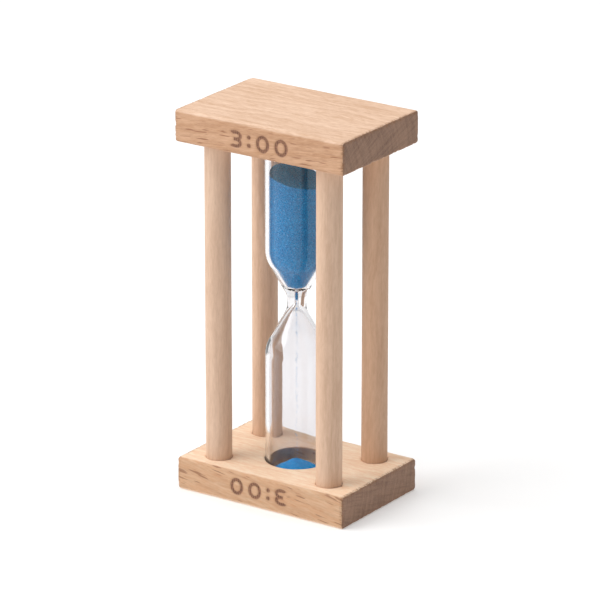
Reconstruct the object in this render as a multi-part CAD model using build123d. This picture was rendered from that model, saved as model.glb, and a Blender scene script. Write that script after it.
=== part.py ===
"""A small beech sand timer: two plates held apart by four dowels, with a glass vial of sand between them.

Frame: +Z up, the origin at the centre of the footprint on the surface that the timer stands on.
X runs along the plates' long side, and the marked edge of each plate faces -Y. Millimetres.
"""

from math import cos, radians, sin, sqrt, tan
import os

from build123d import *

# Frame
HEIGHT = 90.0
PLATE_WIDTH = 45.0
PLATE_DEPTH = 30.0
PLATE_THICKNESS = 7.6
LONG_EDGE_RADIUS = 0.6
END_EDGE_RADIUS = 0.4

# Dowels, glued into blind sockets
DOWEL_RADIUS = 3.0
DOWEL_OFFSET_X = 15.0
DOWEL_OFFSET_Y = 9.15
DOWEL_CHAMFER = 0.5
SOCKET_CLEARANCE = 0.05
SOCKET_DEPTH = 5.0
SOCKET_RIM_CHAMFER = 0.05
GLUE_THICKNESS = 0.3

# Seats that hold the ends of the vial, each with a felt cushion at its bottom
SEAT_RADIUS = 7.25
SEAT_DEPTH = 5.0
SEAT_RIM_CHAMFER = 0.1
CUSHION_RADIUS = 7.1
CUSHION_THICKNESS = 0.8
CUSHION_HOLE_RADIUS = 1.7
CUSHION_GAP = 0.05

# Vial. Outside it is symmetric about its waist, apart from the seal tip. Inside, the upper bulb ends in a
# rounded bowl above a throat, and the lower bulb opens out from the throat's lower end
VIAL_RADIUS = 7.1
VIAL_WALL = 0.9
VIAL_END_RADIUS = 2.2
CAVITY_END_RADIUS = 1.3
WAIST_RADIUS = 2.2
WAIST_HALF_LENGTH = 1.6
SHOULDER_SLOPE = radians(29)
WAIST_FILLET = 4.0
SHOULDER_FILLET = 7.0
THROAT_RADIUS = 0.35
THROAT_BOTTOM = 0.15
BOWL_RADIUS = 3.2
BOWL_HEIGHT = 6.38
FUNNEL_SLOPE = radians(31)
FUNNEL_FILLET = 6.5
SEAL_TIP_RADIUS = 0.9
SEAL_TIP_HEIGHT = 0.6
SEAL_TIP_FILLET = 0.48

# Sand, just after the timer has been turned over
SAND_GAP = 0.05
SAND_LEVEL = 74.6
SAND_TILT = 13.5
PLUG_BOTTOM = 0.9
STREAM_RADIUS = 0.28
HEAP_APEX = 7.43
HEAP_SLOPE = radians(31)
HEAP_TOP_RADIUS = 2.6

# Marks burned into the front edges: three minutes and no seconds, written with plain digits
MARK_DEPTH = 0.15
MARK_STROKE = 0.8
MARK_DROP = 0.25
DIGIT_HEIGHT = 4.0
DIGIT_WIDTH = 3.5
COLON_WIDTH = 1.0
DIGIT_GAP = 1.4
COLON_DOT_OFFSET = 0.95
THREE_STUB = 0.3
THREE_TIP_SLOPE = radians(30)

MIDDLE = HEIGHT / 2
SEAT_FLOOR = PLATE_THICKNESS - SEAT_DEPTH
VIAL_HALF_LENGTH = MIDDLE - SEAT_FLOOR - CUSHION_THICKNESS - CUSHION_GAP
DOWEL_CENTRES = {
    "front_left": (-DOWEL_OFFSET_X, -DOWEL_OFFSET_Y),
    "front_right": (DOWEL_OFFSET_X, -DOWEL_OFFSET_Y),
    "rear_left": (-DOWEL_OFFSET_X, DOWEL_OFFSET_Y),
    "rear_right": (DOWEL_OFFSET_X, DOWEL_OFFSET_Y),
}


def cylinder(radius, bottom, top, x=0.0, y=0.0):
    """An upright cylinder between two heights."""
    height = top - bottom
    return Pos(x, y, bottom + height / 2) * Cylinder(radius, height)


def chamfered_hole(radius, depth, chamfer, x, y):
    """The solid to cut from a plate's upper face for a blind hole with an eased rim."""
    top = PLATE_THICKNESS
    hole = cylinder(radius, top - depth, top, x, y)
    rim = Pos(x, y, top - chamfer / 2) * Cone(radius, radius + chamfer, chamfer)
    return hole + rim


def pen_ring(half_width, half_height):
    """A closed oval stroke of the pen, given the half sizes of its middle line."""
    pen = MARK_STROKE / 2
    return Ellipse(half_width + pen, half_height + pen) - Ellipse(half_width - pen, half_height - pen)


def digit_three():
    """A 3: two oval strokes that meet at mid-height, each cut open on its left."""
    bowl = (DIGIT_HEIGHT - MARK_STROKE) / 4
    reach = (DIGIT_WIDTH - MARK_STROKE) / 2
    cut_x = -THREE_STUB * reach
    opening = make_face(Polyline(
        (cut_x, -cut_x * tan(THREE_TIP_SLOPE)),
        (-DIGIT_WIDTH, DIGIT_WIDTH * tan(THREE_TIP_SLOPE)),
        (-DIGIT_WIDTH, -DIGIT_HEIGHT),
        (cut_x, -DIGIT_HEIGHT),
        close=True,
    ))
    upper = Pos(0, bowl) * (pen_ring(reach, bowl) - opening)
    return upper + mirror(upper, Plane.XZ)


def digit_zero():
    """A 0 drawn with the same pen."""
    return pen_ring((DIGIT_WIDTH - MARK_STROKE) / 2, (DIGIT_HEIGHT - MARK_STROKE) / 2)


def mark_face():
    """The mark 3:00 as a flat sketch, centred on the origin."""
    width = 3 * DIGIT_WIDTH + COLON_WIDTH + 3 * DIGIT_GAP
    three_x = (DIGIT_WIDTH - width) / 2
    colon_x = three_x + DIGIT_WIDTH / 2 + DIGIT_GAP + COLON_WIDTH / 2
    last_x = (width - DIGIT_WIDTH) / 2
    sketch = Pos(three_x, 0) * digit_three()
    for x in (last_x - DIGIT_WIDTH - DIGIT_GAP, last_x):
        sketch += Pos(x, 0) * digit_zero()
    for y in (COLON_DOT_OFFSET, -COLON_DOT_OFFSET):
        sketch += Pos(colon_x, y) * Circle(COLON_WIDTH / 2)
    return sketch


def burned_mark():
    """The shallow recess that the mark burns into the top plate's front edge."""
    centre = (0, -PLATE_DEPTH / 2, HEIGHT - PLATE_THICKNESS / 2 - MARK_DROP)
    plane = Plane(origin=centre, x_dir=(1, 0, 0), z_dir=(0, -1, 0))
    return extrude(plane * mark_face(), amount=-MARK_DEPTH)


def blank_plate():
    """The lower plate before it is marked, with its sockets and seat facing up."""
    board = Pos(0, 0, PLATE_THICKNESS / 2) * Box(PLATE_WIDTH, PLATE_DEPTH, PLATE_THICKNESS)
    board = fillet(board.edges().filter_by(Axis.X), LONG_EDGE_RADIUS)
    ends = board.faces().sort_by(Axis.X)
    board = fillet(ends[0].edges() + ends[-1].edges(), END_EDGE_RADIUS)
    for x, y in DOWEL_CENTRES.values():
        radius = DOWEL_RADIUS + SOCKET_CLEARANCE
        board -= chamfered_hole(radius, SOCKET_DEPTH, SOCKET_RIM_CHAMFER, x, y)
    return board - chamfered_hole(SEAT_RADIUS, SEAT_DEPTH, SEAT_RIM_CHAMFER, 0, 0)


def turned_over(shape):
    """The shape as it lies after the timer is turned end over end about the Y axis."""
    return Pos(0, 0, HEIGHT) * Rot(0, 180, 0) * shape


def dowel(x, y):
    """One dowel with chamfered ends, standing on its glue in the lower socket."""
    bottom = PLATE_THICKNESS - SOCKET_DEPTH + GLUE_THICKNESS
    rod = cylinder(DOWEL_RADIUS, bottom, HEIGHT - bottom, x, y)
    return chamfer(rod.edges().filter_by(GeomType.CIRCLE), DOWEL_CHAMFER)


def dowel_glue():
    """The glue left at the bottom of the four lower sockets."""
    bottom = PLATE_THICKNESS - SOCKET_DEPTH
    return [
        cylinder(DOWEL_RADIUS, bottom, bottom + GLUE_THICKNESS, x, y)
        for x, y in DOWEL_CENTRES.values()
    ]


def rounded_waist(radius, half_length, slope, radius_of_curve):
    """Edges from the axis at z = 0 to the foot of a sloping shoulder, with a curve between."""
    tangent = radius_of_curve * tan(slope / 2)
    waist_end = (radius, half_length - tangent)
    slope_start = (radius + tangent * sin(slope), half_length + tangent * cos(slope))
    return [
        Line((0, 0), (radius, 0)),
        Line((radius, 0), waist_end),
        TangentArc(waist_end, slope_start, tangent=(0, 1)),
    ]


def throat_and_bowl(radius, bowl_centre, bowl_radius, slope):
    """Edges from the axis at z = 0 up a straight throat and round a bowl to the foot of a sloping shoulder."""
    slope_start = (bowl_radius * cos(slope), bowl_centre - bowl_radius * sin(slope))
    throat_end = (radius, bowl_centre - sqrt(bowl_radius**2 - radius**2))
    return [
        Line((0, 0), (radius, 0)),
        Line((radius, 0), throat_end),
        RadiusArc(throat_end, slope_start, bowl_radius),
    ]


def half_bulb(start, end_z, radius, end_radius, slope, shoulder_fillet):
    """The solid of half a bulb above z = 0: its starting edges, sloping shoulder, wall and rounded end."""
    slope_start = start[-1] @ 1
    shoulder_tangent = shoulder_fillet * tan(slope / 2)
    corner_z = slope_start.Y + (radius - slope_start.X) / tan(slope)
    slope_end = (radius - shoulder_tangent * sin(slope), corner_z - shoulder_tangent * cos(slope))
    wall_start = (radius, corner_z + shoulder_tangent)
    wall_end = (radius, end_z - end_radius)
    end_start = (radius - end_radius, end_z)
    outline = start + [
        Line(slope_start, slope_end),
        TangentArc(slope_end, wall_start, tangent=(sin(slope), cos(slope))),
        Line(wall_start, wall_end),
        TangentArc(wall_end, end_start, tangent=(0, 1)),
        Line(end_start, (0, end_z)),
        Line((0, end_z), (0, 0)),
    ]
    face = Plane.XZ * make_face(outline)
    return revolve(face, Axis.Z)


def double_bulb(upper, lower):
    """Two half bulbs, waist to waist at the middle of the timer. The lower one is given upside down."""
    return Pos(0, 0, MIDDLE) * (upper + mirror(lower, Plane.XY))


def cavity(gap=0.0):
    """The space inside the vial, drawn in from the glass all round by a gap."""
    throat = THROAT_RADIUS - gap
    sizes = (
        VIAL_HALF_LENGTH - VIAL_WALL - gap,
        VIAL_RADIUS - VIAL_WALL - gap,
        CAVITY_END_RADIUS,
        FUNNEL_SLOPE,
        FUNNEL_FILLET,
    )
    upper_start = throat_and_bowl(throat, BOWL_HEIGHT, BOWL_RADIUS - gap, FUNNEL_SLOPE)
    lower_start = rounded_waist(throat, THROAT_BOTTOM, FUNNEL_SLOPE, THROAT_RADIUS)
    return double_bulb(half_bulb(upper_start, *sizes), half_bulb(lower_start, *sizes))


def glass_vial():
    """The closed vial, with the tip that is left where its filling hole was melted shut."""
    start = rounded_waist(WAIST_RADIUS, WAIST_HALF_LENGTH, SHOULDER_SLOPE, WAIST_FILLET)
    half = half_bulb(start, VIAL_HALF_LENGTH, VIAL_RADIUS, VIAL_END_RADIUS, SHOULDER_SLOPE, SHOULDER_FILLET)
    end = MIDDLE + VIAL_HALF_LENGTH
    tip = cylinder(SEAL_TIP_RADIUS, end - VIAL_WALL / 2, end + SEAL_TIP_HEIGHT)
    tip = fillet(tip.edges().group_by(Axis.Z)[-1], SEAL_TIP_FILLET)
    return double_bulb(half, half) + tip - cavity()


def upper_sand():
    """The sand still to run: it reaches down into the throat, and its surface slopes down to +X."""
    above = Plane(origin=(0, 0, SAND_LEVEL)).rotated((0, SAND_TILT, 0))
    sand = split(cavity(SAND_GAP), bisect_by=above, keep=Keep.BOTTOM)
    return split(sand, bisect_by=Plane(origin=(0, 0, MIDDLE + PLUG_BOTTOM)), keep=Keep.TOP)


def lower_sand():
    """The heap on the floor of the lower bulb: a cone at the angle of repose with a rounded top."""
    top_tangent = HEAP_TOP_RADIUS * sin(HEAP_SLOPE)
    slope_top = HEAP_APEX - HEAP_TOP_RADIUS * (1 - cos(HEAP_SLOPE))
    foot_z = slope_top - (VIAL_RADIUS - top_tangent) * tan(HEAP_SLOPE)
    outline = [
        Line((0, foot_z), (VIAL_RADIUS, foot_z)),
        Line((VIAL_RADIUS, foot_z), (top_tangent, slope_top)),
        TangentArc((top_tangent, slope_top), (0, HEAP_APEX), tangent=(-cos(HEAP_SLOPE), sin(HEAP_SLOPE))),
        Line((0, HEAP_APEX), (0, foot_z)),
    ]
    heap = revolve(Plane.XZ * make_face(outline), Axis.Z)
    return heap & cavity(SAND_GAP)


def write(name, shape):
    """Writes one node, and prints its volume."""
    parts = shape if isinstance(shape, list) else list(shape.solids())
    node = parts[0] if len(parts) == 1 else Compound(children=parts)
    node.label = name
    export_step(node, f"parts/{name}.step")
    print(f"{name}: {len(parts)} solid(s), {sum(p.volume for p in parts):.1f} mm3")


def main():
    os.makedirs("parts", exist_ok=True)
    top_plate = turned_over(blank_plate()) - burned_mark()
    write("top_plate", top_plate)
    write("bottom_plate", turned_over(top_plate))
    for name, (x, y) in DOWEL_CENTRES.items():
        write(f"{name}_dowel", dowel(x, y))
    write("lower_dowel_glue", dowel_glue())
    write("upper_dowel_glue", [turned_over(bead) for bead in dowel_glue()])
    floor = SEAT_FLOOR
    cushion = cylinder(CUSHION_RADIUS, floor, floor + CUSHION_THICKNESS)
    write("lower_vial_cushion", cushion)
    hole = cylinder(CUSHION_HOLE_RADIUS, floor, floor + CUSHION_THICKNESS)
    write("upper_vial_cushion", turned_over(cushion - hole))
    write("glass_vial", glass_vial())
    write("upper_sand", upper_sand())
    write("sand_stream", cylinder(STREAM_RADIUS, HEAP_APEX + SAND_GAP, MIDDLE + PLUG_BOTTOM))
    write("lower_sand", lower_sand())


main()
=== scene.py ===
"""The looks of a small beech sand timer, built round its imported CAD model.

Shapes are worked out in millimetres in the frame's own axes, and become metres when their mesh is made.
"""

import math

import bpy
import numpy as np
from mathutils import Matrix, Vector


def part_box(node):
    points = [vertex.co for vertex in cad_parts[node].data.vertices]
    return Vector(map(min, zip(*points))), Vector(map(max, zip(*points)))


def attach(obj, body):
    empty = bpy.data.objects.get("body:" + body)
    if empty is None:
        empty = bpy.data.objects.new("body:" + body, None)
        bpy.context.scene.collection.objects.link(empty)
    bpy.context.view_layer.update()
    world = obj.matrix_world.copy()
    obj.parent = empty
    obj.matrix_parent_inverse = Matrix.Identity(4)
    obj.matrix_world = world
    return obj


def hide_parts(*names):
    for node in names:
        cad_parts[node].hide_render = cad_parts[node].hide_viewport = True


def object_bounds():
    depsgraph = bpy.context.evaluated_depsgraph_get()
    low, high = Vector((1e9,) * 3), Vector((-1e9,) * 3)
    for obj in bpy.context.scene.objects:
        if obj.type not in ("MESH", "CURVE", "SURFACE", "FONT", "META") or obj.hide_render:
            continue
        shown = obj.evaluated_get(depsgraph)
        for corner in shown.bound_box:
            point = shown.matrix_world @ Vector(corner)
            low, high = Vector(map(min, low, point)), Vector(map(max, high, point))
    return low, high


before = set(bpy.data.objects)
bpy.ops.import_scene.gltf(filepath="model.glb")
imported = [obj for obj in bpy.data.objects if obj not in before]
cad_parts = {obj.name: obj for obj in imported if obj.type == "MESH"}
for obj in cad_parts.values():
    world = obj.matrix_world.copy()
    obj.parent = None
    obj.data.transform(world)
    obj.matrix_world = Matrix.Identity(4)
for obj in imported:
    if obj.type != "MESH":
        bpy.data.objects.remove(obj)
cad_low, cad_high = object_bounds()

MM = 1000.0  # millimetres in a metre


def box_mm(node):
    """A CAD node's lowest and highest corners, in millimetres."""
    low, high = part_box(node)
    return np.array(low) * MM, np.array(high) * MM


# Sizes that the frame gives
plate_low, plate_high = box_mm("bottom_plate")
WIDTH, DEPTH, THICKNESS = plate_high - plate_low
HEIGHT = cad_high[2] * MM
MIDDLE = HEIGHT / 2
vial_low, vial_high = box_mm("glass_vial")
VIAL_RADIUS = vial_high[0]
VIAL_HALF_LENGTH = MIDDLE - vial_low[2]
SEAL_TIP_HEIGHT = vial_high[2] - MIDDLE - VIAL_HALF_LENGTH
heap_low, heap_high = box_mm("lower_sand")
DOWELS = ("front_left_dowel", "front_right_dowel", "rear_left_dowel", "rear_right_dowel")
dowel_low, dowel_high = box_mm(DOWELS[0])
DOWEL_RADIUS = (dowel_high[0] - dowel_low[0]) / 2
DOWEL_CENTRES = {name: sum(box_mm(name))[:2] / 2 for name in DOWELS}

# Plates, with edges a little more worn and sockets a little closer than in the CAD model
LONG_EDGE_RADIUS = 0.75
END_EDGE_RADIUS = 0.5
SOCKET_RADIUS = 2.98
SOCKET_DEPTH = 5.0  # the seats are as deep
SEAT_RADIUS = 7.25
RIM_EASE = 0.05
PLATE_STEP = 0.22  # between the samples that a plate's mesh is made from
PLATE_WAVE = 0.03
ARRIS_TEAR = 0.16
RING_SPACING = 2.3
BURN_LINE_PITCH = 0.5
DOWEL_CHAMFER = 0.5

# Vial and sand, as in the CAD model
VIAL_WALL = 0.9
VIAL_END_RADIUS = 2.2
CAVITY_END_RADIUS = 1.3
WAIST_RADIUS = 2.2
WAIST_HALF_LENGTH = 1.6
SHOULDER_SLOPE = math.radians(29)
WAIST_FILLET = 4.0
SHOULDER_FILLET = 7.0
THROAT_RADIUS = 0.35
THROAT_BOTTOM = 0.15
BOWL_RADIUS = 3.2
BOWL_HEIGHT = 6.38
FUNNEL_SLOPE = math.radians(31)
FUNNEL_FILLET = 6.5
SEAL_TIP_RADIUS = 0.9
SAND_GAP = 0.05
SAND_LEVEL = 74.6
SAND_TILT = math.radians(13.5)
PLUG_BOTTOM = 0.9
HEAP_SLOPE = math.radians(31)
HEAP_TOP_RADIUS = 2.6
FLAT_FLOOR_RADIUS = 5.0
STRAY_GRAIN_REACH = 5.9
GRAIN = 0.15

# Marks, with the pen and the digits of the CAD model
MARK_DEPTH = 0.15
MARK_STROKE = 0.8
MARK_DROP = 0.25
DIGIT_HEIGHT = 4.0
DIGIT_WIDTH = 3.5
COLON_WIDTH = 1.0
DIGIT_GAP = 1.4
COLON_DOT_OFFSET = 0.95
THREE_STUB = 0.3
THREE_TIP_SLOPE = math.tan(math.radians(30))

# Camera and lights, in metres and watts
CAMERA_AZIMUTH = math.radians(34.43)
CAMERA_ELEVATION = math.radians(19.41)
CAMERA_DISTANCE = 1.108
CAMERA_LENS_MM = 297.0
CAMERA_SHIFT = (0.0055, 0.0026)
KEY_LIGHT = {"place": (-0.66, -0.58, 0.75), "size": 1.0, "power": 9.6}
TOP_LIGHT = {"place": (0.0, 0.1, 1.1), "size": 1.2, "power": 8.8}
WORLD_AS_LIGHT = 0.27
WORLD_AS_SEEN = 0.98
FLOOR_HALF_SIZE_MM = 2500


# ---------------------------------------------------------------- mesh helpers


def smoothstep(low, high, value):
    """0 below low, 1 above high, and a smooth rise between."""
    t = np.clip((value - low) / (high - low), 0, 1)
    return t * t * (3 - 2 * t)


def value_noise(x, y, z, seed):
    """Smooth noise from -1 to 1, with one random value at each whole number of x, y and z."""
    size = 64
    table = np.random.default_rng(seed).uniform(-1, 1, (size, size, size))
    whole = [np.floor(c).astype(int) for c in (x, y, z)]
    part = [smoothstep(0, 1, c - w) for c, w in zip((x, y, z), whole)]
    total = 0
    for corner in np.ndindex(2, 2, 2):
        weight = 1
        for t, side in zip(part, corner):
            weight = weight * (t if side else 1 - t)
        total = total + weight * table[tuple((w + side) % size for w, side in zip(whole, corner))]
    return total


def make_mesh(name, points, faces, material):
    """A new smooth-shaded object from points in millimetres and a list or array of faces."""
    mesh = bpy.data.meshes.new(name)
    mesh.from_pydata((np.asarray(points) / MM).tolist(), [], [list(face) for face in faces])
    mesh.validate()
    mesh.shade_smooth()
    mesh.materials.append(material)
    piece = bpy.data.objects.new(name, mesh)
    bpy.context.scene.collection.objects.link(piece)
    return piece


def grid_faces(rows, columns):
    """Quads over a grid of points whose columns close round; the normals of a rising lathe point out."""
    row, column = np.meshgrid(np.arange(rows - 1), np.arange(columns), indexing="ij")
    across = (column + 1) % columns
    corners = (row * columns + column, row * columns + across)
    above = tuple(c + columns for c in corners)
    return np.stack([corners[0], corners[1], above[1], above[0]], axis=-1).reshape(-1, 4)


def lathe(profile, segments, relief=None):
    """Points and faces of a profile of (radius, height) rows turned about the Z axis.

    relief(angle, radius, height) gives new radii and heights. The first and last rows close on the axis.
    """
    radius, height = np.asarray(profile, float).T
    angle = np.arange(segments) * 2 * math.pi / segments
    angle, radius = np.meshgrid(angle, radius)
    height = np.broadcast_to(height[:, None], angle.shape)
    if relief:
        radius, height = relief(angle, radius, height)
    points = np.stack([radius * np.cos(angle), radius * np.sin(angle), height], axis=-1).reshape(-1, 3)
    rows = len(profile)
    faces = grid_faces(rows, segments).tolist()
    ends = [(0, height[0].mean()), (rows - 1, height[-1].mean())]
    for end, (row, level) in enumerate(ends):
        centre = len(points)
        points = np.vstack([points, [0, 0, level]])
        for i in range(segments):
            pair = [row * segments + i, row * segments + (i + 1) % segments]
            faces.append([centre, *(pair[::-1] if end == 0 else pair)])
    return points, faces


def surface_net(field, low, step):
    """Points and quads of the surface where a sampled field crosses zero. The field is negative inside."""
    cells = tuple(n - 1 for n in field.shape)
    total = np.zeros(cells + (3,))
    count = np.zeros(cells)

    def corner(i, j, k):
        return field[i:i + cells[0], j:j + cells[1], k:k + cells[2]]

    for axis in range(3):
        along = np.eye(3, dtype=int)[axis]
        sides = [s for s in np.ndindex(2, 2, 2) if s[axis] == 0]
        for start in sides:
            a, b = corner(*start), corner(*(np.array(start) + along))
            crosses = (a < 0) != (b < 0)
            share = np.where(crosses, a / np.where(crosses, a - b, 1), 0)
            for d in range(3):
                total[..., d] += crosses * start[d] + share * along[d]
            count += crosses
    used = count > 0
    index = np.full(cells, -1)
    index[used] = np.arange(used.sum())
    places = np.argwhere(used) + total[used] / count[used][:, None]
    quads = []
    inside = field < 0
    for axis in range(3):
        u, v = (axis + 1) % 3, (axis + 2) % 3
        ends = [slice(1, -1)] * 3
        ends[axis] = slice(0, -1)
        starts = inside[tuple(ends)]
        ends[axis] = slice(1, None)
        stops = inside[tuple(ends)]
        for outward in (True, False):
            edge = np.argwhere((starts == outward) & (stops != outward))
            edge[:, u] += 1
            edge[:, v] += 1
            loop = []
            for du, dv in ((1, 1), (0, 1), (0, 0), (1, 0)):
                cell = edge.copy()
                cell[:, u] -= du
                cell[:, v] -= dv
                loop.append(index[tuple(cell.T)])
            quads.append(np.stack(loop if outward else loop[::-1], axis=-1))
    return low + places * step, np.concatenate(quads)


# ---------------------------------------------------------------- material helpers


class Nodes:
    """A material's node tree. Each call adds one node and gives back the output that the next one takes."""

    def __init__(self, name):
        self.material = bpy.data.materials.new(name)
        self.material.use_nodes = True
        self.tree = self.material.node_tree
        self.tree.nodes.clear()

    def add(self, kind, inputs=(), **settings):
        node = self.tree.nodes.new("ShaderNode" + kind)
        for key, value in settings.items():
            setattr(node, key, value)
        for key, value in dict(inputs).items():
            if isinstance(value, bpy.types.NodeSocket):
                self.tree.links.new(value, node.inputs[key])
            else:
                node.inputs[key].default_value = value
        return node

    def math(self, operation, *values):
        return self.add("Math", enumerate(values), operation=operation).outputs[0]

    def weighted(self, *parts):
        """The sum of values, each given with its weight."""
        total = None
        for value, weight in parts:
            part = self.math("MULTIPLY", value, weight)
            total = part if total is None else self.math("ADD", total, part)
        return total

    def place(self, origin=(0, 0, 0)):
        """Object coordinates in millimetres, from a point given in millimetres."""
        coordinates = self.add("TexCoord").outputs["Object"]
        inputs = {"Vector": coordinates, "Scale": (MM, MM, MM), "Location": -Vector(origin)}
        return self.add("Mapping", inputs).outputs[0]

    def turned(self, vector, rotation=(0, 0, 0), scale=(1, 1, 1), shift=(0, 0, 0)):
        inputs = {"Vector": vector, "Rotation": rotation, "Scale": scale, "Location": shift}
        return self.add("Mapping", inputs).outputs[0]

    def noise(self, vector, scale=1.0, detail=2.0, roughness=0.5, distortion=0.0):
        inputs = {"Vector": vector, "Scale": scale, "Detail": detail, "Roughness": roughness}
        inputs["Distortion"] = distortion
        return self.add("TexNoise", inputs).outputs[0]

    def cells(self, vector, scale):
        """A Voronoi texture's node, for its Distance and Color."""
        return self.add("TexVoronoi", {"Vector": vector, "Scale": scale})

    def remap(self, value, low, high, to_low=0.0, to_high=1.0):
        inputs = {"Value": value, 1: low, 2: high, 3: to_low, 4: to_high}
        return self.add("MapRange", inputs, interpolation_type="SMOOTHSTEP").outputs[0]

    def mix(self, factor, first, second, blend="MIX"):
        node = self.add("Mix", data_type="RGBA", blend_type=blend)
        for key, value in ((0, factor), (6, first), (7, second)):
            if isinstance(value, bpy.types.NodeSocket):
                self.tree.links.new(value, node.inputs[key])
            else:
                node.inputs[key].default_value = value if key == 0 else (*value, 1)
        return node.outputs[2]

    def bump(self, height, distance_mm, strength=1.0, normal=None):
        inputs = {"Height": height, "Distance": distance_mm / MM, "Strength": strength}
        if normal is not None:
            inputs["Normal"] = normal
        return self.add("Bump", inputs).outputs[0]

    def finish(self, shader):
        self.add("OutputMaterial", {"Surface": shader})
        return self.material


def grain_turn(grain, radial):
    """The turn from the frame to wood axes: X along the grain, Y along the growth rings, Z across them."""
    along = Vector(grain).normalized()
    across = Vector(radial)
    across = (across - across.dot(along) * along).normalized()
    return Matrix((along, across.cross(along), across)).to_euler()


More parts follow.
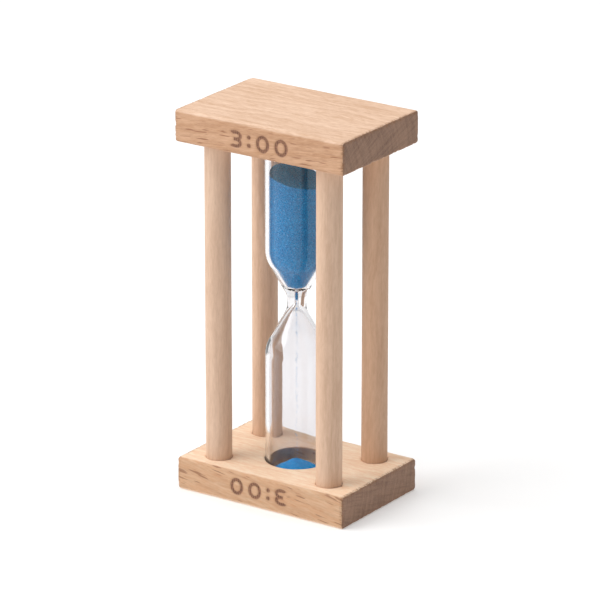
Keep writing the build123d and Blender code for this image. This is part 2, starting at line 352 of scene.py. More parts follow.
def wood(name, origin, grain, radial, pale, deep, end_pale, end_deep, fleck, fleck_amount, pith, shift,
         tangential_tint=(1, 1, 1), figure=1.0, marked=False):
    """Beech seen on any face: fibres, growth rings, ray flecks on tangential faces, and darker end grain.

    Marked wood also shows the torn edges and the burned mark, from two attributes of its mesh.
    """
    n = Nodes(name)
    turn = grain_turn(grain, radial)
    straight = n.turned(n.place(origin), rotation=turn, shift=shift)
    wander = n.noise(n.turned(straight, scale=(0.06, 0.12, 0.12)), detail=2.0)
    along, sideways, outward = n.add("SeparateXYZ", {0: straight}).outputs
    bend = n.math("MULTIPLY", n.math("SUBTRACT", wander, 0.5), 3.0)
    from_pith = n.math("ADD", n.math("ADD", outward, bend), pith)
    squares = [n.math("POWER", part, 2.0) for part in (sideways, from_pith)]
    ring_radius = n.math("SQRT", n.math("ADD", *squares))
    ring_arc = n.math("MULTIPLY", n.math("ARCTAN2", sideways, from_pith), pith)
    grown = n.add("CombineXYZ", {0: along, 1: ring_arc, 2: ring_radius}).outputs[0]

    normal = n.add("TexCoord").outputs["Normal"]
    facing = n.add("Mapping", {"Vector": normal, "Rotation": turn}, vector_type="VECTOR").outputs[0]
    facing_along, _, facing_out = n.add("SeparateXYZ", {0: facing}).outputs
    end_on = n.remap(n.math("ABSOLUTE", facing_along), 0.45, 0.75)
    tangential = n.remap(n.math("ABSOLUTE", facing_out), 0.45, 0.85)

    ring_count = n.math("DIVIDE", ring_radius, RING_SPACING)
    uneven = n.math("MULTIPLY", n.noise(n.turned(grown, scale=(0.02, 0.03, 0.35)), detail=1.0), 2.2)
    ring_phase = n.math("FRACT", n.math("ADD", ring_count, uneven))
    latewood = n.math("MULTIPLY", n.remap(ring_phase, 0.35, 0.93), n.remap(ring_phase, 1.0, 0.95))

    broad = n.noise(n.turned(grown, scale=(0.05, 0.45, 0.6)), detail=3.0, roughness=0.6)
    streaks = n.noise(n.turned(grown, scale=(0.32, 2.3, 2.3)), detail=3.0, roughness=0.6, distortion=0.4)
    fibre = n.noise(n.turned(grown, scale=(0.7, 6.5, 6.5)), detail=3.0, roughness=0.6)

    tone = n.weighted(
        (n.remap(broad, 0.3, 0.7), 0.34),
        (latewood, 0.18),
        (n.remap(streaks, 0.32, 0.7), 0.42),
        (n.remap(fibre, 0.35, 0.7), 0.26),
    )
    colour = n.mix(n.math("MULTIPLY", tone, figure), pale, deep)

    rays = n.noise(n.turned(grown, scale=(0.24, 2.3, 0.10)), detail=0.6, roughness=0.4)
    fine_rays = n.noise(n.turned(grown, scale=(0.5, 4.2, 0.25), shift=(7.0, 3.0, 1.0)), detail=1.0)
    flecks = n.math("ADD", n.remap(rays, 0.655, 0.735, 0.0, 0.8), n.remap(fine_rays, 0.6, 0.8, 0.0, 0.35))
    shown = n.math("MULTIPLY", flecks, n.math("MULTIPLY", tangential, fleck_amount))
    if marked:  # flecks fade near the mark, so that they don't add strokes to it
        edge = n.add("Attribute", attribute_name="mark_distance").outputs["Fac"]
        shown = n.math("MULTIPLY", shown, n.remap(edge, 0.75, 1.6, 0.08, 1.0))
    colour = n.mix(shown, colour, fleck)

    colour = n.mix(tangential, colour, tangential_tint, "MULTIPLY")
    band_place = n.turned(grown, scale=(0.07, 1.1, 1.1), shift=(3.0, 8.0, 5.0))
    bands = n.noise(band_place, detail=3.0, roughness=0.65)
    banded = n.math("MULTIPLY", tangential, n.remap(bands, 0.42, 0.66, 0.0, 0.22))
    colour = n.mix(banded, colour, fleck)

    end_rings = n.noise(n.turned(grown, scale=(0.05, 0.12, 1.3)), detail=3.0, roughness=0.6)
    end_rays = n.noise(n.turned(grown, scale=(0.05, 2.0, 0.16)), detail=3.0, roughness=0.6)
    speckle = n.noise(n.turned(grown, scale=(0.8, 4.5, 4.5)), detail=4.0, roughness=0.75)
    end_tone = n.weighted(
        (n.remap(end_rings, 0.35, 0.68), 0.36),
        (n.remap(end_rays, 0.4, 0.68), 0.36),
        (n.remap(speckle, 0.3, 0.7), 0.42),
    )
    colour = n.mix(end_on, colour, n.mix(end_tone, end_pale, end_deep))

    relief = n.weighted((streaks, 0.4), (fibre, 0.6), (shown, -0.5))
    surface = n.bump(relief, 0.05)
    surface = n.bump(n.math("MULTIPLY", speckle, end_on), 0.12, normal=surface)
    roughness = n.remap(fibre, 0.3, 0.7, 0.5, 0.68)
    if marked:
        torn = n.add("Attribute", attribute_name="arris").outputs["Fac"]
        teeth = n.noise(n.turned(straight, scale=(1.4, 2.2, 2.2)), detail=2.0)
        torn = n.math("MULTIPLY", torn, n.remap(teeth, 0.46, 0.58, 0.1, 0.7))
        colour = n.mix(torn, colour, (0.30, 0.145, 0.07))
        ragged = n.math("MULTIPLY", n.math("SUBTRACT", fibre, 0.5), 0.5)
        burned = n.remap(n.math("ADD", edge, ragged), 0.12, -0.14)
        burn_lines = n.math("SINE", n.math("MULTIPLY", along, 2 * math.pi / BURN_LINE_PITCH))
        burn_lines = n.remap(n.math("ADD", burn_lines, fibre), -0.6, 1.0, 0.62, 1.0)
        burned = n.math("MULTIPLY", burned, burn_lines)
        char = n.mix(n.remap(fibre, 0.35, 0.65), (0.28, 0.125, 0.07), (0.13, 0.055, 0.035))
        halo = n.remap(edge, 0.55, 0.0, 0.0, 0.3)
        colour = n.mix(halo, colour, (0.42, 0.2, 0.1))
        colour = n.mix(burned, colour, char)
    inputs = {"Base Color": colour, "Roughness": roughness, "Normal": surface, "Specular IOR Level": 0.35}
    return n.finish(n.add("BsdfPrincipled", inputs).outputs[0])


def glass():
    """Clear glass. Lamps and diffuse light pass straight through, so that the sand inside is lit.

    It reflects a little less than real glass, which would lay a grey veil over the sand.
    """
    n = Nodes("vial_glass")
    waver = n.noise(n.turned(n.place(), scale=(0.25, 0.25, 0.06)), detail=2.0)
    clear = n.add("BsdfPrincipled", {
        "Base Color": (0.872, 0.864, 0.876, 1),
        "Roughness": 0.0,
        "IOR": 1.48,
        "Specular Tint": (0.75, 0.75, 0.75, 1),
        "Transmission Weight": 1.0,
        "Normal": n.bump(waver, 0.06, 0.35),
    }).outputs[0]
    light = n.add("LightPath").outputs
    dimmed = n.mix(light["Is Diffuse Ray"], (1.0, 1.0, 1.0), (0.91, 0.91, 0.91))
    passing = n.add("BsdfTransparent", {"Color": dimmed}).outputs[0]
    straight = n.math("MAXIMUM", light["Is Shadow Ray"], light["Is Diffuse Ray"])
    return n.finish(n.add("MixShader", {0: straight, 1: clear, 2: passing}).outputs[0])


def sand(name, lightness):
    """Dyed quartz sand: matte blue with lighter and darker grains, in patches and clumps."""
    deep, middle, pale, patch = (
        np.multiply(lightness, colour)
        for colour in ((0.003, 0.175, 0.50), (0.02, 0.44, 0.90), (0.18, 0.54, 0.90), (0.01, 0.24, 0.56))
    )
    n = Nodes(name)
    place = n.place()
    grains = n.cells(place, scale=1 / GRAIN)
    shade = n.add("SeparateColor", {0: grains.outputs["Color"]}).outputs[0]
    patches = n.noise(place, scale=0.5, detail=3.0)
    clumps = n.noise(place, scale=0.4 / GRAIN, detail=2.0, roughness=0.6)
    colour = n.mix(n.remap(shade, 0.0, 1.0), deep, middle)
    colour = n.mix(n.remap(shade, 0.96, 0.985), colour, pale)
    colour = n.mix(n.remap(patches, 0.35, 0.65, 0.0, 0.25), colour, patch)
    colour = n.mix(n.remap(clumps, 0.42, 0.58, 0.0, 0.4), colour, deep)
    inputs = {
        "Base Color": colour,
        "Roughness": 0.9,
        "Specular IOR Level": 0.02,
        "Normal": n.bump(grains.outputs["Distance"], -GRAIN * 0.5, 0.8),
    }
    return n.finish(n.add("BsdfPrincipled", inputs).outputs[0])


def felt():
    """Grey wool felt with matted fibres."""
    n = Nodes("grey_felt")
    place = n.place()
    matted = n.noise(place, scale=2.5, detail=6.0, roughness=0.75, distortion=1.5)
    colour = n.mix(n.remap(matted, 0.3, 0.7), (0.2, 0.18, 0.16), (0.36, 0.33, 0.29))
    inputs = {
        "Base Color": colour,
        "Roughness": 0.95,
        "Sheen Weight": 0.4,
        "Sheen Roughness": 0.5,
        "Normal": n.bump(matted, 0.15),
    }
    return n.finish(n.add("BsdfPrincipled", inputs).outputs[0])


def glue():
    """Dried wood glue, a little cloudy."""
    n = Nodes("dried_glue")
    cloud = n.noise(n.place(), scale=1.2, detail=3.0)
    colour = n.mix(n.remap(cloud, 0.3, 0.7), (0.62, 0.5, 0.28), (0.75, 0.66, 0.45))
    inputs = {"Base Color": colour, "Roughness": 0.35, "Normal": n.bump(cloud, 0.1)}
    return n.finish(n.add("BsdfPrincipled", inputs).outputs[0])


def floor_white():
    """The studio's seamless paper."""
    n = Nodes("floor_paper")
    tooth = n.noise(n.place(), scale=0.8, detail=3.0)
    inputs = {
        "Base Color": (0.86, 0.86, 0.86, 1),
        "Roughness": 0.9,
        "Normal": n.bump(tooth, 0.02),
        "Emission Color": (1, 1, 1, 1),
        "Emission Strength": 0.18,
    }
    return n.finish(n.add("BsdfPrincipled", inputs).outputs[0])


# ---------------------------------------------------------------- plates


def ellipse_distance(x, y, half_width, half_height):
    """About the distance to an ellipse's line, negative inside it."""
    ratio = np.hypot(x / half_width, y / half_height)
    slope = np.hypot(x / half_width**2, y / half_height**2)
    return ratio * (ratio - 1) / np.maximum(slope, 1e-6)


def mark_distance(x, y):
    """The distance from the mark 3:00, centred on the origin, negative inside its strokes."""
    pen = MARK_STROKE / 2
    reach = DIGIT_WIDTH / 2 - pen
    bowl = (DIGIT_HEIGHT - MARK_STROKE) / 4
    width = 3 * DIGIT_WIDTH + COLON_WIDTH + 3 * DIGIT_GAP
    three_x = (DIGIT_WIDTH - width) / 2
    last_x = (width - DIGIT_WIDTH) / 2
    colon_x = three_x + DIGIT_WIDTH / 2 + DIGIT_GAP + COLON_WIDTH / 2
    shapes = []
    for side in (1, -1):
        across, up = x - three_x, side * y - bowl
        ring = np.abs(ellipse_distance(across, up, reach, bowl)) - pen
        opening = np.maximum(across + THREE_STUB * reach, up + across * THREE_TIP_SLOPE)
        shapes.append(np.maximum(ring, -opening))
        shapes.append(np.hypot(x - colon_x, y - side * COLON_DOT_OFFSET) - COLON_WIDTH / 2)
    for centre in (last_x - DIGIT_WIDTH - DIGIT_GAP, last_x):
        oval = ellipse_distance(x - centre, y, reach, DIGIT_HEIGHT / 2 - pen)
        shapes.append(np.abs(oval) - pen)
    return np.minimum.reduce(shapes)


def rounded_corner(u, v, radius):
    """The distance to a square corner with rounded edge, from the distances u and v beyond its two sides."""
    u, v = u + radius, v + radius
    return np.minimum(np.maximum(u, v), 0) + np.hypot(np.maximum(u, 0), np.maximum(v, 0)) - radius


def arris_nearness(x, y, z):
    """1 on the sharp edges round a plate's end grain, and 0 a little way from them."""
    end = np.abs(x) - WIDTH / 2 + END_EDGE_RADIUS / 2
    beyond = (np.abs(y) - DEPTH / 2, np.abs(z - THICKNESS / 2) - THICKNESS / 2)
    side = np.maximum(*beyond) + END_EDGE_RADIUS / 2
    return smoothstep(0.8, 0.1, np.hypot(end, side))


def mark_place(x, z):
    """Where a point on a plate's front edge lies in the mark, which is upside down on the lower plate."""
    return -x, THICKNESS / 2 + MARK_DROP - z


def plate_field(x, y, z, seed, chips):
    """The distance to a plate that lies with its sockets up, negative inside the wood.

    Each chip is a bite out of the top face: its centre's x and y, its length, its breadth and its depth.
    """
    long_sides = rounded_corner(
        np.abs(y) - DEPTH / 2, np.abs(z - THICKNESS / 2) - THICKNESS / 2, LONG_EDGE_RADIUS
    )
    ends = np.abs(x) - WIDTH / 2
    wood_side = rounded_corner(long_sides, ends, END_EDGE_RADIUS)
    wave = value_noise(x / 9, y / 3, z / 3, seed) * PLATE_WAVE
    arris = np.exp(-((long_sides / 0.5) ** 2)) * np.exp(-((ends / 0.5) ** 2))
    tear = np.maximum(value_noise(x / 0.6, y / 0.6, z / 0.6, seed + 1), 0) * ARRIS_TEAR * arris
    wood_side = wood_side + np.abs(wave) + tear * 2
    mark = mark_distance(*mark_place(x, z))
    wood_side = wood_side + MARK_DEPTH * smoothstep(0.12, -0.2, mark) * (y < 0)
    widening = np.maximum(z - (THICKNESS - RIM_EASE), 0)
    nicks = value_noise(x / 0.5, y / 0.35, z / 0.8, seed + 2)
    nicks = np.maximum(nicks - 0.45, 0) * 0.3 * smoothstep(THICKNESS - 1.0, THICKNESS, z)
    holes = [np.hypot(x - centre[0], y - centre[1]) - SOCKET_RADIUS for centre in DOWEL_CENTRES.values()]
    holes.append(np.hypot(x, y) - SEAT_RADIUS - widening)
    for hole in holes:
        wood_side = np.maximum(wood_side, -np.maximum(hole - nicks, THICKNESS - SOCKET_DEPTH - z))
    for centre_x, centre_y, length, breadth, sink in chips:
        bite = np.sqrt(
            ((x - centre_x) / length) ** 2 + ((y - centre_y) / breadth) ** 2 + ((z - THICKNESS) / sink) ** 2
        )
        wood_side = np.maximum(wood_side, (1 - bite) * min(length, breadth, sink))
    return wood_side


def plate(name, seed, chips, turned_over, material):
    """One plate with its sockets, seat and burned mark, worn along its end-grain edges."""
    far_from_mark = 9.0
    margin = 3 * PLATE_STEP
    low = np.array([-WIDTH / 2, -DEPTH / 2, 0]) - margin
    counts = np.ceil((np.array([WIDTH, DEPTH, THICKNESS]) + 2 * margin) / PLATE_STEP).astype(int) + 1
    axes = [low[d] + np.arange(counts[d]) * PLATE_STEP for d in range(3)]
    x, y, z = np.meshgrid(*axes, indexing="ij")
    points, faces = surface_net(plate_field(x, y, z, seed, chips), low, PLATE_STEP)
    x, y, z = points.T
    edge = np.where(y < -DEPTH / 2 + 1.0, mark_distance(*mark_place(x, z)), far_from_mark)
    arris = arris_nearness(x, y, z)
    if turned_over:
        points = points * (-1, 1, -1) + (0, 0, HEIGHT)
    piece = make_mesh(name, points, faces, material)
    piece.data.attributes.new("mark_distance", "FLOAT", "POINT").data.foreach_set("value", edge)
    piece.data.attributes.new("arris", "FLOAT", "POINT").data.foreach_set("value", arris)
    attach(piece, "frame")
    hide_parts(name)


def rim_chips(seed):
    """Two bites out of each socket's rim, at random."""
    random = np.random.default_rng(seed)
    reach = SOCKET_RADIUS + 0.05
    chips = []
    for centre in DOWEL_CENTRES.values():
        for _ in range(2):
            angle = random.uniform(0, 2 * math.pi)
            chips.append((
                centre[0] + reach * math.cos(angle),
                centre[1] + reach * math.sin(angle),
                random.uniform(0.25, 0.5),
                random.uniform(0.15, 0.3),
                random.uniform(0.15, 0.4),
            ))
    return chips


# ---------------------------------------------------------------- dowels


def dowel(name, seed, material):
    """A turned dowel with chamfered ends, fine furrows along its grain and a slightly uneven round."""
    low, high = box_mm(name)
    centre = (low + high) / 2
    bottom, top = low[2], high[2]
    rows = np.arange(bottom + DOWEL_CHAMFER, top - DOWEL_CHAMFER, 0.45)
    profile = [(DOWEL_RADIUS * f, bottom) for f in (0.3, 0.6)]
    profile.append((DOWEL_RADIUS - DOWEL_CHAMFER, bottom))
    profile.append((DOWEL_RADIUS - DOWEL_CHAMFER / 2, bottom + DOWEL_CHAMFER / 2))
    profile += [(DOWEL_RADIUS, z) for z in rows]
    profile += [(DOWEL_RADIUS, top - DOWEL_CHAMFER), (DOWEL_RADIUS - DOWEL_CHAMFER, top)]
    profile += [(DOWEL_RADIUS * f, top) for f in (0.6, 0.3)]

    def furrows(angle, radius, height):
        x, y = np.cos(angle), np.sin(angle)
        fine = value_noise(x * 14 + 20, y * 14 + 20, height / 6, seed)
        broad = value_noise(x * 1.5 + 5, y * 1.5 + 5, height / 18, seed + 1)
        depth = 0.014 * (1 + fine) + 0.02 * (1 + broad)
        return radius - depth * (radius > DOWEL_RADIUS * 0.8), height

    points, faces = lathe(profile, 120, furrows)
    piece = make_mesh(name, points + (centre[0], centre[1], 0), faces, material)
    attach(piece, "frame")
    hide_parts(name)


# ---------------------------------------------------------------- vial and sand


def arc(centre, radius, start, end, steps):
    """Points of an arc between two angles, the ends included."""
    angles = np.linspace(start, end, steps)
    return [(centre[0] + radius * math.cos(a), centre[1] + radius * math.sin(a)) for a in angles]


def rounded_waist(radius, half_length, slope, radius_of_curve):
    """Half a waist as (radius, height above its middle), up to where the shoulder starts to slope."""
    straight_end = half_length - radius_of_curve * math.tan(slope / 2)
    outline = [(radius, z) for z in np.linspace(0, straight_end, 5)[:-1]]
    centre = (radius + radius_of_curve, straight_end)
    return outline + arc(centre, radius_of_curve, math.pi, math.pi - slope, 14)


def throat_and_bowl(radius, bowl_centre, bowl_radius, slope):
    """The throat and the rounded bowl above it, in the same form."""
    throat_end = bowl_centre - math.sqrt(bowl_radius**2 - radius**2)
    outline = [(radius, z) for z in np.linspace(0, throat_end, 8)[:-1]]
    start = math.asin(radius / bowl_radius) - math.pi / 2
    return outline + arc((0, bowl_centre), bowl_radius, start, -slope, 16)


def half_bulb(start, end, radius, end_radius, slope, shoulder_fillet):
    """Half a bulb's outline as (radius, height above the waist), from its start to the flat end."""
    corner = start[-1][1] + (radius - start[-1][0]) / math.tan(slope)
    shoulder = (radius - shoulder_fillet, corner + shoulder_fillet * math.tan(slope / 2))
    shoulder_arc = arc(shoulder, shoulder_fillet, -slope, 0, 22)
    outline = start + [tuple(p) for p in np.linspace(start[-1], shoulder_arc[0], 14)[1:-1]] + shoulder_arc
    straight_end = end - end_radius
    outline += [(radius, z) for z in np.linspace(shoulder[1], straight_end, 60)[1:-1]]
    outline += arc((radius - end_radius, straight_end), end_radius, 0, math.pi / 2, 16)
    return outline + [((radius - end_radius) * f, end) for f in (0.66, 0.33)]


def outer_half():
    """The outside of either half of the vial."""
    start = rounded_waist(WAIST_RADIUS, WAIST_HALF_LENGTH, SHOULDER_SLOPE, WAIST_FILLET)
    return half_bulb(start, VIAL_HALF_LENGTH, VIAL_RADIUS, VIAL_END_RADIUS, SHOULDER_SLOPE, SHOULDER_FILLET)


def cavity_half(start, gap=0.0):
    """The space inside one half of the vial, drawn in from the glass by a gap."""
    return half_bulb(start, VIAL_HALF_LENGTH - VIAL_WALL - gap, VIAL_RADIUS - VIAL_WALL - gap,
                     CAVITY_END_RADIUS, FUNNEL_SLOPE, FUNNEL_FILLET)


def upper_cavity(gap=0.0):
    start = throat_and_bowl(THROAT_RADIUS - gap, BOWL_HEIGHT, BOWL_RADIUS - gap, FUNNEL_SLOPE)
    return cavity_half(start, gap)


def lower_cavity():
    return cavity_half(rounded_waist(THROAT_RADIUS, THROAT_BOTTOM, FUNNEL_SLOPE, THROAT_RADIUS))


def both_halves(upper, lower):
    """Two half outlines as one, from the vial's bottom to its top. The lower one is given upside down."""
    return [(r, MIDDLE - z) for r, z in lower[:0:-1]] + [(r, MIDDLE + z) for r, z in upper]


def glass_vial(material):
    """The blown vial: two walls, a waist with a narrow throat, and the seal tip on its upper end."""
    outside = both_halves(outer_half(), outer_half())
    end = outside[-3][1]
    foot, flare = SEAL_TIP_RADIUS * 1.5, 0.12
    outside = outside[:-2] + [(3.2, end), (foot + 0.3, end)]
    outside += [(foot - (foot - SEAL_TIP_RADIUS) * f, end + flare * f * f) for f in (0.0, 0.35, 0.7, 1.0)]
    outside += [
        (SEAL_TIP_RADIUS * math.cos(a), end + flare + (SEAL_TIP_HEIGHT - flare) * math.sin(a))
        for a in np.linspace(0.2, 1.45, 8)
    ]

    def hand_blown(angle, radius, height):
        """Flame work leaves the shoulders and the waist a little out of round."""
        worked = np.exp(-(((np.abs(height - MIDDLE) - 6) / 6) ** 2))
        oval = np.cos(2 * angle + height * 0.15) * 0.035 + np.cos(angle - 0.8) * 0.03
        return radius * (1 - worked * 0.012) + worked * oval * 0.6 - 0.01, height

    outer_points, outer_faces = lathe(outside, 144, hand_blown)
    inner_points, inner_faces = lathe(both_halves(upper_cavity(), lower_cavity()), 144)
    faces = outer_faces + [[i + len(outer_points) for i in reversed(f)] for f in inner_faces]
    piece = make_mesh("glass_vial", np.vstack([outer_points, inner_points]), faces, material)
    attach(piece, "vial")
    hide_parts("glass_vial")


def upper_sand(material):
    """The sand still to run. Its sides follow the glass, and its surface slopes down to +X."""
    side_rows, wall_rows, top_rows = 170, 70, 55
    wall_start = 22  # above the waist, where the glass is already straight
    outline = [(r, MIDDLE + z) for r, z in upper_cavity(SAND_GAP) if PLUG_BOTTOM <= z < wall_start]
    sides = np.array(outline)
    wall, base = sides[-1]
    lengths = np.concatenate([[0], np.cumsum(np.hypot(*np.diff(sides, axis=0).T))])
    spread = np.linspace(0, lengths[-1], side_rows)
    profile = np.vstack([
        np.stack([np.interp(spread, lengths, part) for part in sides.T], axis=-1),
        [(wall, base + (SAND_LEVEL - base) * f) for f in np.linspace(0, 1, wall_rows)[1:]],
        [(wall * f, SAND_LEVEL) for f in np.linspace(1, 0.01, top_rows)[1:]],
    ])
    rows = np.arange(len(profile))[:, None]
    random = np.random.default_rng(31)

    def fill(angle, radius, height):
        slope = -math.tan(SAND_TILT) * radius * np.cos(angle)
        share = np.clip((height - base) / (SAND_LEVEL - base), 0, 1)
        rough = random.uniform(0, 1, angle.shape)
        on_top = rows >= side_rows + wall_rows - 1
        x, y = radius * np.cos(angle), radius * np.sin(angle)
        swell = value_noise(x / 2.4 + 9, y / 2.4 + 9, 0 * x, 5) * 0.12
        height = height + share * slope + on_top * (swell + (rough - 0.5) * 0.09)
        shrink = np.where(on_top, 0, rough * 0.05) * np.clip(radius, 0, 1)
        return radius - shrink, height

    points, faces = lathe(profile, 260, fill)
    piece = make_mesh("upper_sand", points, faces, material)
    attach(piece, "vial")
    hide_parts("upper_sand")


def heap_height(radius):
    """The heap's height: a rounded top, straight flanks and a foot that runs out."""
    apex = heap_high[2]
    top_tangent = HEAP_TOP_RADIUS * math.sin(HEAP_SLOPE)
    crown = apex - HEAP_TOP_RADIUS + np.sqrt(np.maximum(HEAP_TOP_RADIUS**2 - radius**2, 0))
    slope_top = apex - HEAP_TOP_RADIUS * (1 - math.cos(HEAP_SLOPE))
    flank = slope_top - (radius - top_tangent) * math.tan(HEAP_SLOPE)
    return np.maximum(np.where(radius < top_tangent, crown, flank), heap_low[2])


def lower_sand(material):
    """The heap on the floor of the lower bulb, with grains that have rolled away from it."""
    reach = heap_high[0]
    floor = heap_low[2]
    profile = [(reach * f, floor) for f in (0.05, 0.35, 0.7, 0.97)]
    floor_rows = len(profile)
    profile += [(r, heap_height(r)) for r in np.linspace(0.02, reach, 60)[::-1]]
    rows = np.arange(len(profile))[:, None]
    random = np.random.default_rng(12)

    def loose(angle, radius, height):
        surface = rows >= floor_rows
        x, y = radius * np.cos(angle), radius * np.sin(angle)
        swell = value_noise(x / 1.6 + 30, y / 1.6 + 30, 0 * x, 8) * 0.1 * smoothstep(0, 1.5, reach - radius)
        rough = random.uniform(-0.5, 0.5, angle.shape) * 0.11 * smoothstep(0, 0.6, reach - radius)
        lobe = value_noise(np.cos(angle) * 2 + 4, np.sin(angle) * 2 + 4, 0 * x, 3)
        lobe = 1 + surface * 0.035 * lobe
        return np.minimum(radius * lobe, reach), np.maximum(height + surface * (swell + rough), floor)

    points, faces = lathe(profile, 220, loose)
    points, faces = joined([(points, faces), stray_grains(160, floor)])
    piece = make_mesh("lower_sand", points, faces, material)
    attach(piece, "vial")
    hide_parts("lower_sand")


def joined(parts):
    """Several sets of points and faces as one."""
    points, faces = [], []
    for part_points, part_faces in parts:
        start = sum(len(p) for p in points)
        points.append(np.asarray(part_points))
        faces += [[i + start for i in face] for face in part_faces]
    return np.vstack(points), faces


def grain_shape():
    """One grain: an icosahedron of unit radius."""
    golden = (1 + math.sqrt(5)) / 2
    corners = []
    for a in (-1, 1):
        for b in (-golden, golden):
            corners += [(0, a, b), (a, b, 0), (b, 0, a)]
    corners = np.array(corners) / math.hypot(1, golden)
    edge = min(np.linalg.norm(corners[0] - c) for c in corners[1:]) * 1.01
    faces = []
    for i in range(12):
        for j in range(i + 1, 12):
            for k in range(j + 1, 12):
                three = corners[[i, j, k]]
                sides = np.linalg.norm(three - three[[1, 2, 0]], axis=1)
                if max(sides) < edge:
                    normal = np.cross(three[1] - three[0], three[2] - three[0])
                    faces.append([i, j, k] if np.dot(normal, three.sum(axis=0)) > 0 else [i, k, j])
    return corners, faces


def grains(centres, seed):
    """Sand grains of uneven size and shape at the given centres."""
    random = np.random.default_rng(seed)
    corners, shape = grain_shape()
    parts = []
    for centre in centres:
        stretch = random.uniform(0.75, 1.2, 3) * GRAIN / 2
        turn = np.array(Matrix.Rotation(random.uniform(0, 6.28), 3, Vector(random.normal(0, 1, 3))))
        parts.append((centre + (corners * stretch) @ turn, shape))
    return joined(parts)


def stray_grains(count, floor):
    """Grains that have rolled away from the heap, on the glass floor where it curves up to the wall."""
    random = np.random.default_rng(77)
    angle = random.uniform(0, 2 * math.pi, count)
    beyond = (STRAY_GRAIN_REACH - FLAT_FLOOR_RADIUS) * random.beta(1, 2.5, count)
    radius = FLAT_FLOOR_RADIUS + beyond
    height = floor + GRAIN * 0.45 + beyond**2 * 0.25
    centres = np.stack([radius * np.cos(angle), radius * np.sin(angle), height], axis=-1)
    return grains(centres, 78)


def sand_stream(material):
    """The grains in the air below the plug. They spread out as they speed up.

    Gravity and the first speed are in millimetres and seconds, and the flow is in grains a second.
    """
    top, bottom = MIDDLE + PLUG_BOTTOM - 0.1, heap_high[2] + 0.05
    gravity, first_speed, flow = 9810.0, 60.0, 1900.0
    random = np.random.default_rng(21)
    fall_time = (math.sqrt(first_speed**2 + 2 * gravity * (top - bottom)) - first_speed) / gravity
    count = int(flow * fall_time)
    time = np.sort(random.uniform(0, fall_time, count))
    height = top - first_speed * time - gravity * time**2 / 2
    spread = 0.24 + 0.06 * (top - height) / (top - bottom)
    angle = random.uniform(0, 2 * math.pi, count)
    radius = spread * np.sqrt(random.uniform(0, 1, count))
    centres = np.stack([radius * np.cos(angle), radius * np.sin(angle), height], axis=-1)
    points, faces = grains(centres, 22)
    piece = make_mesh("sand_stream", points, faces, material)
    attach(piece, "vial")
    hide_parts("sand_stream")


# ---------------------------------------------------------------- hidden pieces


def cushion(name, hole_radius, material):
    """A felt cushion at the bottom of a seat, with matted faces and frayed edges: a ring or a disc."""
    segments = 120
    low, high = box_mm(name)
    outer, bottom, top = high[0], low[2], high[2]
    middle = (bottom + top) / 2
    radii = np.linspace(hole_radius or 0.05, outer, 24)  # a disc closes on its axis
    loop = [(r, bottom) for r in radii]
    loop += [(outer, bottom + (top - bottom) * f) for f in (0.33, 0.66)]
    loop += [(r, top) for r in radii[::-1]]

    def frayed(angle, radius, height):
        x, y = radius * np.cos(angle), radius * np.sin(angle)
        lump = value_noise(x / 0.5 + 20, y / 0.5 + 20, height / 0.5, 41)
        squeeze = 1 - 0.06 * (1 + lump)
        fray = 0.08 * (1 + lump) * (radius > outer - 0.1)
        return np.maximum(radius - fray, 0), middle + (height - middle) * squeeze

    points, faces = lathe(loop, segments, frayed)
    if hole_radius:  # the faces that close on the axis give way to the wall of the hole
        points, faces = points[:-2], faces[:-2 * segments]
        last = (len(loop) - 1) * segments
        for i in range(segments):
            after = (i + 1) % segments
            faces.append([last + i, last + after, after, i])
    piece = make_mesh(name, points, faces, material)
    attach(piece, "frame")
    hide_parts(name)


# ---------------------------------------------------------------- studio


def studio():
    """A seamless white floor, soft light from the upper left, and the camera.

    The world is white to the camera and through the glass, and dimmer as a light.
    """
    reach = FLOOR_HALF_SIZE_MM
    corners = [(-reach, -reach, 0), (reach, -reach, 0), (reach, reach, 0), (-reach, reach, 0)]
    floor = make_mesh("floor", corners, [[0, 1, 2, 3]], floor_white())
    scene = bpy.context.scene
    world = bpy.data.worlds.new("studio")
    scene.world = world
    world.use_nodes = True
    nodes, links = world.node_tree.nodes, world.node_tree.links
    nodes["Background"].inputs["Color"].default_value = (1, 1, 1, 1)
    light = nodes.new("ShaderNodeLightPath").outputs
    seen = nodes.new("ShaderNodeMath")
    seen.operation = "MAXIMUM"
    links.new(light["Is Camera Ray"], seen.inputs[0])
    links.new(light["Is Transmission Ray"], seen.inputs[1])
    strength = nodes.new("ShaderNodeMapRange")
    links.new(seen.outputs[0], strength.inputs["Value"])
    strength.inputs["To Min"].default_value = WORLD_AS_LIGHT
    strength.inputs["To Max"].default_value = WORLD_AS_SEEN
    links.new(strength.outputs[0], nodes["Background"].inputs["Strength"])
    target = Vector((0, 0, MIDDLE / MM))
    soft_box("key_light", target, **KEY_LIGHT)
    soft_box("top_light", target, **TOP_LIGHT)
    camera = bpy.data.objects.new("camera", bpy.data.cameras.new("camera"))
    scene.collection.objects.link(camera)
    level = math.cos(CAMERA_ELEVATION)
    back = Vector((
        math.sin(CAMERA_AZIMUTH) * level,
        -math.cos(CAMERA_AZIMUTH) * level,
        math.sin(CAMERA_ELEVATION),
    ))
    camera.location = target + back * CAMERA_DISTANCE
    camera.rotation_mode = "QUATERNION"
    camera.rotation_quaternion = (-back).to_track_quat("-Z", "Y")
    camera.data.lens = CAMERA_LENS_MM
    camera.data.sensor_width = 36.0
    camera.data.shift_x, camera.data.shift_y = CAMERA_SHIFT
    camera.data.clip_end = 20
    scene.camera = camera
    scene.view_settings.view_transform = "Standard"
    scene.cycles.max_bounces = 24
    scene.cycles.transmission_bounces = 16
    scene.cycles.transparent_max_bounces = 16


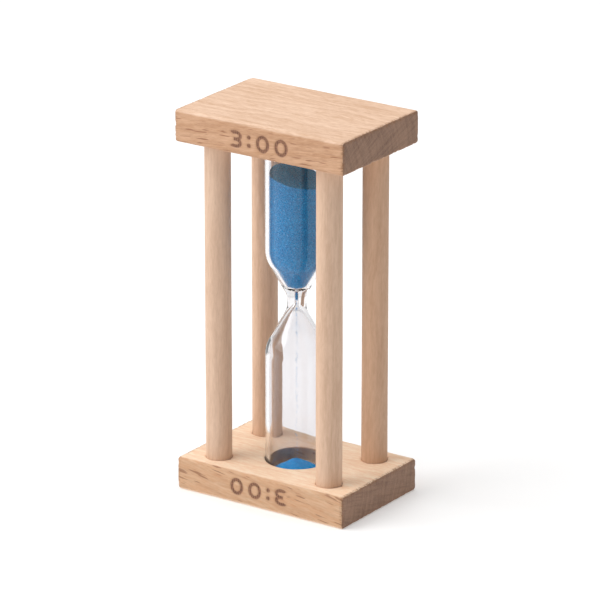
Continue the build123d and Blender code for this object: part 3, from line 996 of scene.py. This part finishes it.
def soft_box(name, target, place, size, power):
    """A square area light that faces the target."""
    lamp = bpy.data.lights.new(name, "AREA")
    lamp.shape = "SQUARE"
    lamp.size = size
    lamp.energy = power
    holder = bpy.data.objects.new(name, lamp)
    holder.location = place
    holder.rotation_mode = "QUATERNION"
    holder.rotation_quaternion = (target - Vector(place)).to_track_quat("-Z", "Y")
    bpy.context.scene.collection.objects.link(holder)


# ---------------------------------------------------------------- the timer


def main():
    plate_look = {
        "end_pale": (0.42, 0.25, 0.165),
        "end_deep": (0.22, 0.123, 0.08),
        "fleck": (0.37, 0.18, 0.10),
        "marked": True,
    }
    rise, fall = math.tan(math.radians(5)), -math.tan(math.radians(8))
    top_wood = wood(
        "top_beech", (0, 0, HEIGHT - THICKNESS / 2), (1, 0, rise), (0, 0.85, 0.5),
        pale=(0.87, 0.635, 0.48), deep=(0.61, 0.38, 0.24), tangential_tint=(0.845, 0.72, 0.61),
        fleck_amount=1.0, pith=45.0, shift=(11.0, 5.0, 3.0), **plate_look,
    )
    # Painted light: the lower plate's pale and deep colours are lighter than the upper plate's. This lifts
    # its top face where the upper plate shades it, and its darker tangential tint brings its front faces
    # back down.
    bottom_wood_lightened = wood(
        "bottom_beech", (0, 0, THICKNESS / 2), (1, 0, fall), (0, 0.9, -0.42),
        pale=(1.0, 0.83, 0.64), deep=(0.87, 0.56, 0.36), tangential_tint=(0.705, 0.585, 0.49),
        fleck_amount=0.85, pith=38.0, shift=(57.0, -9.0, 21.0), **plate_look,
    )
    plate("top_plate", 3, rim_chips(5), True, top_wood)
    plate("bottom_plate", 8, rim_chips(6), False, bottom_wood_lightened)
    tones = ((1.0, 1.0, 1.0), (1.0, 0.99, 0.98), (0.97, 0.94, 0.91), (0.86, 0.79, 0.72))
    for number, (name, tone) in enumerate(zip(DOWELS, tones)):
        spin = 0.6 + number * 1.9
        stick = wood(
            name + "_wood", (*DOWEL_CENTRES[name], MIDDLE),
            (0.01 * number, 0.012, 1), (math.cos(spin), math.sin(spin), 0),
            pale=np.multiply(tone, (0.80, 0.57, 0.42)), deep=np.multiply(tone, (0.60, 0.39, 0.265)),
            end_pale=(0.55, 0.38, 0.26), end_deep=(0.35, 0.22, 0.14), figure=0.7,
            fleck=(0.45, 0.25, 0.14), fleck_amount=0.12, pith=60.0,
            shift=(31.0 * number, 13.0 + number, 7.0 * number),
        )
        dowel(name, 50 + number, stick)
    glass_vial(glass())
    upper_sand(sand("packed_sand", 0.98))
    # Painted light: the heap and the falling grains take the sand's colours 1.3 times lighter, as the heap
    # looked more brightly lit than this lighting makes it.
    lightened_sand = sand("lightened_sand", 1.3)
    sand_stream(lightened_sand)
    lower_sand(lightened_sand)
    felt_look = felt()
    cushion("lower_vial_cushion", 0, felt_look)
    cushion("upper_vial_cushion", 1.7, felt_look)
    glue_look = glue()
    for name in ("upper_dowel_glue", "lower_dowel_glue"):
        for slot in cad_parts[name].material_slots:
            slot.material = glue_look
    studio()


main()
